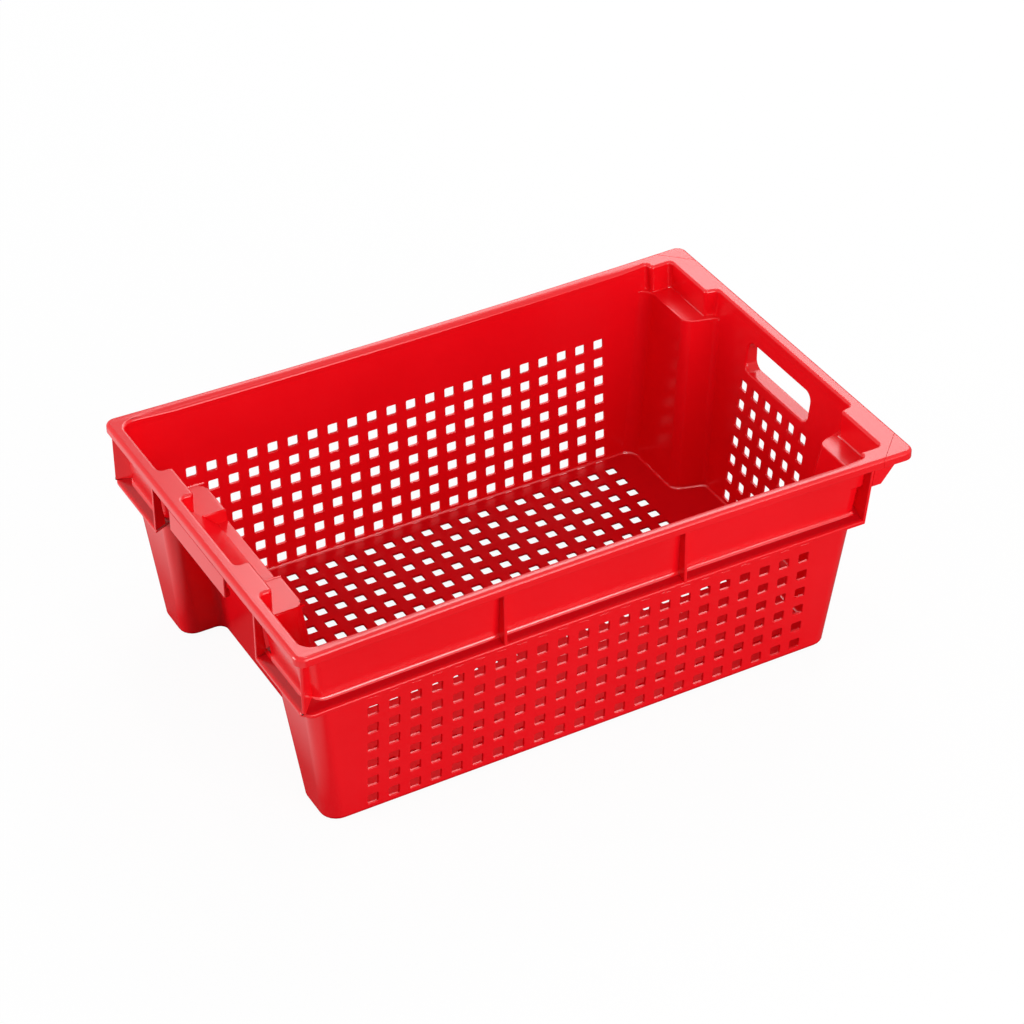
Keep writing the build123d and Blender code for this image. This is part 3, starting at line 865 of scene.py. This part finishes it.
class Neighbours:
    """Finds where a section touches its neighbours, so that only free edges are rounded."""

    reach = 0.12 * MM

    def __init__(self) -> None:
        """Build a search tree and a box for each CAD node."""
        self.trees: dict[str, BVHTree] = {}
        self.boxes: dict[str, tuple[Vector, Vector]] = {}
        for name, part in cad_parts.items():
            places = [vertex.co for vertex in part.data.vertices]
            faces = [tuple(face.vertices) for face in part.data.polygons]
            self.trees[name] = BVHTree.FromPolygons(places, faces)
            self.boxes[name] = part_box(name)

    def covered(self, place: Vector, own: str) -> bool:
        """Whether a place just outside a section lies on another section.

        Args:
            place: The place.
            own: The section itself, which doesn't count.

        Returns:
            True if another section is within reach.
        """
        for name, (low, high) in self.boxes.items():
            inside = all(low[i] - self.reach <= place[i] <= high[i] + self.reach for i in range(3))
            if name != own and inside and self.trees[name].find_nearest(place, self.reach)[0] is not None:
                return True
        return False


@dataclass
class MouldedSection:
    """A section taken over from its CAD node, with its free edges rounded as a mould leaves them."""

    node: str
    finish: PlasticFinish
    edges: EdgeStyle = EdgeStyle.SOFT
    seam: float = 0.0
    weld: float = 0.01 * MM
    flat_angle: float = math.radians(0.4)
    edge_angle: float = math.radians(28.0)
    step: float = 30.0 * MM
    inset: float = 0.7 * MM
    lift: float = 0.05 * MM
    level_cuts: tuple[float, ...] = ()
    segments: int = 3
    marks: Triple = (0.2, 0.5, 0.8)

    def welded(self) -> Shape:
        """Copy the node's loose triangles, weld them and dissolve the lines across its flat faces."""
        shape = bmesh.new()
        shape.from_mesh(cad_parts[self.node].data)
        bmesh.ops.remove_doubles(shape, verts=shape.verts, dist=self.weld)
        bmesh.ops.dissolve_degenerate(shape, edges=shape.edges, dist=self.weld)
        bmesh.ops.dissolve_limit(
            shape,
            angle_limit=self.flat_angle,
            verts=shape.verts,
            edges=shape.edges,
            use_dissolve_boundaries=False,
        )
        return shape

    def cut(self, shape: Shape, place: Triple, normal: Triple) -> None:
        """Add a line of vertices where a plane through a place meets the section."""
        everything = [*shape.verts, *shape.edges, *shape.faces]
        bmesh.ops.bisect_plane(shape, geom=everything, dist=self.weld, plane_co=place, plane_no=normal)

    def stepped(self, shape: Shape) -> None:
        """Cut long runs into steps along X, so that they can bow, and below rounded top edges."""
        low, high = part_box(self.node)
        count = int((high.x - low.x) / self.step)
        for index in range(1, count + 1):
            self.cut(shape, (low.x + (high.x - low.x) * index / (count + 1), 0.0, 0.0), (1, 0, 0))
        for level in self.level_cuts:
            self.cut(shape, (0.0, 0.0, level), (0, 0, 1))

    def free_sides(self, edge: bmesh.types.BMEdge, neighbours: Neighbours) -> int:
        """How many of an edge's two faces are free beside it.

        Args:
            edge: An edge with two faces.
            neighbours: Where the other sections are.

        Returns:
            The number of free faces, judged at three places along the edge.
        """
        free = 0
        for loop in edge.link_loops:
            start, end = loop.vert.co, loop.link_loop_next.vert.co
            normal = loop.face.normal
            inward = normal.cross(end - start).normalized() * self.inset
            marks = [start.lerp(end, share) + inward + normal * self.lift for share in self.marks]
            hidden = sum(neighbours.covered(mark, self.node) for mark in marks)
            free += hidden < len(marks) / 2
        return free

    def mark_edges(self, shape: Shape, neighbours: Neighbours) -> None:
        """Weight the free outer edges for rounding and mark the other corners sharp."""
        weight = shape.edges.layers.float.new("bevel_weight_edge")
        shape.normal_update()
        for edge in shape.edges:
            if len(edge.link_faces) != 2 or edge.calc_face_angle(0.0) < self.edge_angle:
                continue
            free = self.free_sides(edge, neighbours) if edge.is_convex else 0
            if free == 2:
                edge[weight] = 1.0
            elif free == 1 and self.seam:
                edge[weight] = self.seam / self.edges.value
            else:
                edge.smooth = False


    def build(self, neighbours: Neighbours) -> None:
        """Make the section and put it in place of its node."""
        shape = self.welded()
        self.stepped(shape)
        self.mark_edges(shape, neighbours)
        for face in shape.faces:
            face.smooth = True
        mesh = bpy.data.meshes.new(self.node)
        shape.to_mesh(mesh)
        shape.free()
        host = new_object(self.node + "_work", mesh)
        bevel = host.modifiers.new("round", "BEVEL")
        bevel.limit_method = "WEIGHT"
        bevel.width = self.edges.value
        bevel.segments = self.segments
        bevel.use_clamp_overlap = False
        weight_normals(host)
        place_piece(self.node + "_moulding", evaluated_mesh(host), self.finish, [self.node])


def mould(neighbours: Neighbours, nodes: Iterable[str], finish: PlasticFinish, **options: object) -> None:
    """Make moulded sections that share a finish.

    Args:
        neighbours: Where the other sections are.
        nodes: Their CAD nodes.
        finish: Their finish.
        options: Other fields of the sections.
    """
    for node in nodes:
        MouldedSection(node, finish, **options).build(neighbours)


def both_sides(*names: str) -> tuple[str, ...]:
    """Names of the front and rear twins of sections."""
    return tuple(name + side for name in names for side in ("_front", "_rear"))


@dataclass
class CrateFloor:
    """The pierced floor, its rounded lower edge and the pads under it."""

    columns: int = 20
    rows: int = 16
    edge_radius: float = 2.4 * MM
    edge_steps: int = 4
    edge_angle: float = math.radians(70.0)
    level: float = 0.01 * MM
    fillet: float = 2.2 * MM

    def build(self, neighbours: Neighbours) -> None:
        """Make the floor, its fillet and its pads.

        Args:
            neighbours: Where the other sections are.
        """
        low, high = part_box("base_panel")
        panel = PiercedPanel(
            "base_panel", Facing.FLOOR, TUB.outline(high.z), self.columns, self.rows,
            (HOLES.along, HOLES.across), (HOLES.middle_along(self.columns), 0.0), -low.z, 0.0, FLOOR_FINISH,
        )
        made = panel.mesh()
        with edited(made) as shape:
            lowest = [
                edge
                for edge in shape.edges
                if all(vertex.co.z < low.z + self.level for vertex in edge.verts)
                and edge.calc_face_angle(0.0) > self.edge_angle
            ]
            bmesh.ops.bevel(
                shape, geom=lowest, offset=self.edge_radius, segments=self.edge_steps, profile=0.5,
                affect="EDGES",
            )
        panel.place(made)
        corner = at_height(TUB.outline(high.z, TUB.wall), high.z)
        lean = -(TUB.end_slope + TUB.side_slope) / 2
        HollowFillet("floor_fillet", [corner[::-1]], self.fillet, (lean, 1.0), closed=True).build()
        mould(neighbours, ["foot_pads"], FLOOR_FINISH, edges=EdgeStyle.FINE)


@dataclass
class LongWalls:
    """The two pierced long walls."""

    columns: int = 22
    step: float = 20.0 * MM

    def build(self) -> None:
        """Make both walls."""
        middle = HOLES.middle_along(self.columns)
        for node, facing, sign in (("side_wall_front", Facing.FRONT, 1), ("side_wall_rear", Facing.REAR, -1)):
            low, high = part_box(node)
            ends = sorted((sign * low.x, sign * high.x))
            outline = stepped_rectangle((ends[0], low.z), (ends[1], high.z), self.step)
            panel = PiercedPanel(
                node, facing, outline, self.columns, HOLES.rows_up, (HOLES.along, HOLES.up),
                (sign * middle, HOLES.middle_up()), TUB.foot_half_width, TUB.side_slope, WALL_FINISH,
            )
            panel.place(panel.mesh())


@dataclass
class LedgeEnd:
    """What both ends share: walls that carry ledges, and fillets at the feet of the backstops."""

    pocket_radius: float = 4.0 * MM
    fillet: float = 1.3 * MM
    ledge_band: float = 2.0 * MM

    def mould_carriers(self, neighbours: Neighbours, nodes: Iterable[str], top: str) -> None:
        """Make the walls under the ledges, with a cut below their rounded top edges.

        Args:
            neighbours: Where the other sections are.
            nodes: CAD nodes of the walls.
            top: The node whose top gives the ledges' height.
        """
        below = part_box(top)[1].z - self.ledge_band
        mould(neighbours, nodes, WALL_FINISH, edges=EdgeStyle.LEDGE, level_cuts=(below,))

    def round_feet(self, name: str, corners: Line, height: float) -> None:
        """Round the feet of the backstops on both ledges.

        Args:
            name: Name of the piece.
            corners: Places and radii of the line that the front backstop's foot follows.
            height: Height of the ledges.
        """
        line = at_height(rounded_corners(corners), height)
        HollowFillet(name, front_and_rear(line), self.fillet).build()


@dataclass
class SlotEnd(LedgeEnd):
    """The end with the hand slot: pierced wall, columns, ledges, backstops and the slot's sleeve."""

    columns: int = 6
    slot_half_width: float = 52.0 * MM
    slot_bottom: float = 150.7 * MM
    slot_top: float = 182.7 * MM
    slot_corner: float = 9.0 * MM
    slot_edge: float = 1.6 * MM
    backstop_inset: float = 24.0 * MM

    def wall(self) -> PiercedPanel:
        """The end wall, pierced by its holes and the hand slot."""
        low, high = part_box("slot_end_wall")
        slot = {
            "Slot Width": 2 * self.slot_half_width,
            "Slot Height": self.slot_top - self.slot_bottom,
            "Slot Rise": (self.slot_top + self.slot_bottom) / 2,
            "Slot Corner Radius": self.slot_corner,
            "Slot Edge Radius": self.slot_edge,
        }
        outline = stepped_rectangle((low.y, low.z), (high.y, high.z), high.y - low.y)
        return PiercedPanel(
            "slot_end_wall", Facing.SLOT_END, outline, self.columns, HOLES.rows_up, (HOLES.across, HOLES.up),
            (0.0, HOLES.middle_up()), TUB.foot_half_length, TUB.end_slope, WALL_FINISH, slot,
        )

    def build(self, neighbours: Neighbours) -> None:
        """Make the end's sections.

        Args:
            neighbours: Where the other sections are.
        """
        panel = self.wall()
        panel.place(panel.mesh())
        self.mould_carriers(neighbours, both_sides("column"), "column_front")
        mould(neighbours, both_sides("slot_ledge"), RIM_FINISH)
        mould(neighbours, ("slot_frame", *both_sides("slot_backstop")), WALL_FINISH)
        low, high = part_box("slot_ledge_front")
        back = CAD_BOX[1].x - self.backstop_inset
        near = -(TUB.bulge_half_width(high.z) - TUB.wall)
        corners = [(back, near, 0.0), (back, low.y, self.pocket_radius), (low.x, low.y, 0.0)]
        self.round_feet("slot_ledge_fillets", corners, high.z)


@dataclass
class GripEnd(LedgeEnd):
    """The end with the grip bar: legs, recess wall, ledges, backstops and the scoop."""

    carriers: tuple[str, ...] = (*both_sides("leg"), "recess_wall")
    plain: tuple[str, ...] = (*both_sides("grip_ledge", "grip_backstop"), "scoop", "grip_bar")

    def build(self, neighbours: Neighbours) -> None:
        """Make the end's sections.

        Args:
            neighbours: Where the other sections are.
        """
        self.mould_carriers(neighbours, self.carriers, "recess_wall")
        mould(neighbours, self.plain, WALL_FINISH)
        low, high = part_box("grip_ledge_front")
        inner = -(TUB.half_length(high.z) - TUB.recess_depth) + TUB.wall
        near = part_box("grip_backstop_front")[0].y
        corners = [
            (inner, near, 0.0),
            (low.x, near, self.pocket_radius),
            (low.x, high.y, self.pocket_radius),
            (inner, high.y, 0.0),
        ]
        self.round_feet("grip_ledge_fillets", corners, high.z)


@dataclass
class CrownedRim(MouldedSection):
    """A long side of the rim, whose top is crowned down to its inner edge."""

    crown: float = 8.5 * MM
    drop: float = 4.5 * MM
    cuts: int = 9
    crowned_from: float = -255.0 * MM
    crowned_to: float = 230.0 * MM
    fade: float = 20.0 * MM

    def share(self, along: float) -> float:
        """How much of the crown is left at a place along the crate: it fades out before the corners."""
        beyond = max(self.crowned_from - along, along - self.crowned_to, 0.0)
        return max(0.0, 1.0 - beyond / self.fade)

    def stepped(self, shape: Shape) -> None:
        """Cut the top along its run as well, and round it down to the inner edge."""
        super().stepped(shape)
        low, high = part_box(self.node)
        side = math.copysign(1.0, low.y + high.y)
        inner = TUB.half_width(low.z) - TUB.wall
        for index in range(1, self.cuts + 1):
            self.cut(shape, (0.0, side * (inner + self.crown * (index / self.cuts) ** 2), 0.0), (0, 1, 0))
        for vertex in shape.verts:
            left = 1.0 - min(max(side * vertex.co.y - inner, 0.0) / self.crown, 1.0)
            fall = self.drop * (1.0 - math.sqrt(1.0 - left**2))
            vertex.co.z = min(vertex.co.z, high.z - fall * self.share(vertex.co.x))


@dataclass
class RimBand:
    """The turned-down rim, with the parting line round its two corners at the slot end."""

    parting: float = 0.8 * MM

    def build(self, neighbours: Neighbours) -> None:
        """Make the rim's sections."""
        for node in both_sides("rim"):
            CrownedRim(node, RIM_FINISH).build(neighbours)
        mould(neighbours, ("rim_grip_end", "rim_slot_end"), RIM_FINISH)
        mould(neighbours, both_sides("rim_corner"), RIM_FINISH, seam=self.parting)


@dataclass
class Skirt:
    """The sloping flange under the rim, with its closing plates, ribs and webs."""

    flanges: tuple[str, ...] = both_sides("skirt", "skirt_end")
    plates: tuple[str, ...] = both_sides(
        "skirt_cheek", "skirt_stop", "corner_rib", "corner_web", "rib_grip", "rib_slot"
    )
    root: float = 148.2 * MM
    edge: float = 143.7 * MM
    fillet: float = 2.4 * MM
    step: float = 20.0 * MM

    def build(self, neighbours: Neighbours) -> None:
        """Make the skirt's sections and round the corner between the tub and the flange on both sides."""
        # The flanges take the finish with painted shade on their sloping tops.
        mould(neighbours, self.flanges, FLANGE_FINISH)
        mould(neighbours, self.plates, WALL_FINISH)
        fall = (self.edge - self.root) / (-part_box("skirt_front")[0].y - TUB.half_width(self.root))
        lines = front_and_rear(self.root_line())
        HollowFillet("skirt_fillets", lines, self.fillet, (TUB.side_slope, 1.0), (1.0, fall)).build()

    def top(self, distance: float, root: float, edge: float) -> float:
        """Height of the flange's sloping top at a distance from the middle, between its root and its edge."""
        return self.edge + (self.root - self.edge) * (edge - distance) / (edge - root)

    def root_line(self) -> Line:
        """Line on which the front flange leaves the tub, from the cheek round the corner to the column."""
        half_length, half_width = TUB.half_length(self.root), TUB.half_width(self.root)
        column = half_length - TUB.column_setback - TUB.corner_radius / 2
        end_edge, side_edge = -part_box("skirt_end_front")[0].x, -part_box("skirt_front")[0].y
        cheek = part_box("skirt_cheek_front")[0].y
        count = math.ceil((half_length + column) / self.step)
        start = -half_length + TUB.corner_radius
        runs = [(start + self.step * index, -half_width) for index in range(1, count)]
        runs = [run for run in runs if run[0] < column - self.step / 2] + [(column, -half_width)]
        corner = rounded_corners(
            [(-half_length, cheek, 0.0), (-half_length, -half_width, TUB.corner_radius), (*runs[0], 0.0)]
        )
        line: Line = []
        for x, y in corner + runs[1:]:
            on_front = CAD_BOX[1].y + y < CAD_BOX[1].x + x
            height = self.top(-y, half_width, side_edge) if on_front else self.top(-x, half_length, end_edge)
            line.append((x, y, height))
        return line


@dataclass(frozen=True)
class SoftBox:
    """A soft box that looks at the crate from a direction."""

    name: str
    direction: Triple
    size: Point
    power: float
    distance: float = 2.6
    aim_height: float = 0.1

    def build(self) -> None:
        """Hang the lamp in its place."""
        light = bpy.data.lights.new(self.name, "AREA")
        light.shape = "RECTANGLE"
        light.size, light.size_y = self.size
        light.energy = self.power
        holder = new_object(self.name, light)
        aim = Vector(self.direction).normalized()
        holder.location = aim * self.distance + Vector((0.0, 0.0, self.aim_height))
        holder.rotation_mode = "QUATERNION"
        holder.rotation_quaternion = aim.to_track_quat("Z", "Y")


@dataclass
class Studio:
    """Camera, soft light and the pale floor that the crate stands on."""

    camera_place: Triple = (-1.11029, -2.00312, 1.80258)
    camera_aim: Triple = (0.39271, 0.704047, -0.591689)
    camera_up: Triple = (0.290798, 0.515305, 0.806163)
    focal_pixels: float = 3181.0
    picture_pixels: float = 1024.0
    off_centre_pixels: float = 1.76
    sensor: float = 36.0
    sight: float = 50.0
    ambient: float = 0.43
    floor_reach: float = 6.0
    floor_roughness: float = 0.9
    floor_tone: float = 0.92
    floor_bounce: float = 0.18
    floor_glow: float = 0.95
    mirror_from: float = -0.285
    mirror_to: float = -0.335
    lamps: tuple[SoftBox, ...] = (
        SoftBox("front_box", (0.12, -1.0, 0.42), (1.6, 1.2), 32.0),
        SoftBox("low_box", (0.2, -1.0, 0.07), (1.6, 0.5), 15.0),
        SoftBox("left_box", (-1.0, 0.35, 0.14), (1.2, 0.7), 38.0),
        SoftBox("top_box", (0.1, -0.05, 1.0), (0.25, 0.25), 6.0),
        SoftBox("back_box", (0.52, 0.60, 0.62), (1.8, 1.2), 27.0),
    )

    def camera(self) -> None:
        """Set the camera at the photograph's view."""
        lens = bpy.data.cameras.new("view")
        lens.sensor_width = self.sensor
        lens.lens = self.focal_pixels / self.picture_pixels * self.sensor
        lens.shift_x = -self.off_centre_pixels / self.picture_pixels
        lens.clip_end = self.sight
        holder = new_object("view", lens)
        back = -Vector(self.camera_aim).normalized()
        right = Vector(self.camera_up).cross(back).normalized()
        turn = np.array([right, back.cross(right), back]).T
        holder.rotation_mode = "QUATERNION"
        holder.rotation_quaternion = Matrix(turn.tolist()).to_quaternion()
        holder.location = self.camera_place
        bpy.context.scene.camera = holder

    def world(self) -> None:
        """Even studio surround, plain white where it is seen or mirrored."""
        world = bpy.data.worlds.new("surround")
        bpy.context.scene.world = world
        world.use_nodes = True
        nodes = world.node_tree.nodes
        build = NodeBuilder(world.node_tree)
        build.feed(nodes["Background"], {"Color": WHITE, "Strength": self.ambient})
        seen = build.add("ShaderNodeBackground", {"Color": WHITE})
        path = build.add("ShaderNodeLightPath").node.outputs
        looked_at = build.math("MAXIMUM", path["Is Camera Ray"], path["Is Glossy Ray"])
        mix = build.add("ShaderNodeMixShader", {0: looked_at, 1: nodes["Background"].outputs[0], 2: seen})
        build.feed(nodes["World Output"], {"Surface": mix})

    def floor_material(self) -> bpy.types.Material:
        """Pale paper that is seen as plain white, and mirrored as white to the left of the crate."""
        made = bpy.data.materials.new("studio_floor")
        made.use_nodes = True
        nodes = made.node_tree.nodes
        build = NodeBuilder(made.node_tree)
        path = build.add("ShaderNodeLightPath").node.outputs
        tones = {"To Min": self.floor_bounce, "To Max": self.floor_tone}
        tone = build.add("ShaderNodeMapRange", {"Value": path["Is Camera Ray"], **tones})
        build.feed(nodes["Principled BSDF"], {"Base Color": tone, "Roughness": self.floor_roughness})
        along = build.split(build.add("ShaderNodeTexCoord", output="Object"))["X"]
        band = {"From Min": self.mirror_from, "From Max": self.mirror_to}
        behind = build.add("ShaderNodeMapRange", {"Value": along, **band})
        mirrored = build.math("MULTIPLY", path["Is Glossy Ray"], behind)
        looked_at = build.math("MAXIMUM", path["Is Camera Ray"], mirrored)
        share = build.math("MULTIPLY", looked_at, self.floor_glow)
        glow = build.add("ShaderNodeEmission")
        mix = build.add("ShaderNodeMixShader", {0: share, 1: nodes["Principled BSDF"].outputs[0], 2: glow})
        build.feed(nodes["Material Output"], {"Surface": mix})
        return made

    def floor(self) -> None:
        """Lay a wide pale floor under the crate."""
        reach = self.floor_reach
        mesh = bpy.data.meshes.new("studio_floor")
        corners = [(-reach, -reach, 0.0), (reach, -reach, 0.0), (reach, reach, 0.0), (-reach, reach, 0.0)]
        mesh.from_pydata(corners, [], [(0, 1, 2, 3)])
        mesh.materials.append(self.floor_material())
        floor = new_object("studio_floor", mesh)

    def build(self) -> None:
        """Set up the whole studio."""
        self.camera()
        self.world()
        self.floor()
        for lamp in self.lamps:
            lamp.build()
        bpy.context.scene.view_settings.view_transform = "Standard"


def main() -> None:
    """Build the crate's looks and the studio round it."""
    logging.basicConfig(level=logging.INFO, format="%(message)s")
    for group in (mould_grain_group, colour_drift_group, handling_group, painted_shade_group):
        group()
    for tree in (perforated_tree, fillet_tree):
        tree()
    neighbours = Neighbours()
    CrateFloor().build(neighbours)
    LongWalls().build()
    SlotEnd().build(neighbours)
    GripEnd().build(neighbours)
    RimBand().build(neighbours)
    Skirt().build(neighbours)
    Studio().build()


if __name__ == "__main__":
    main()
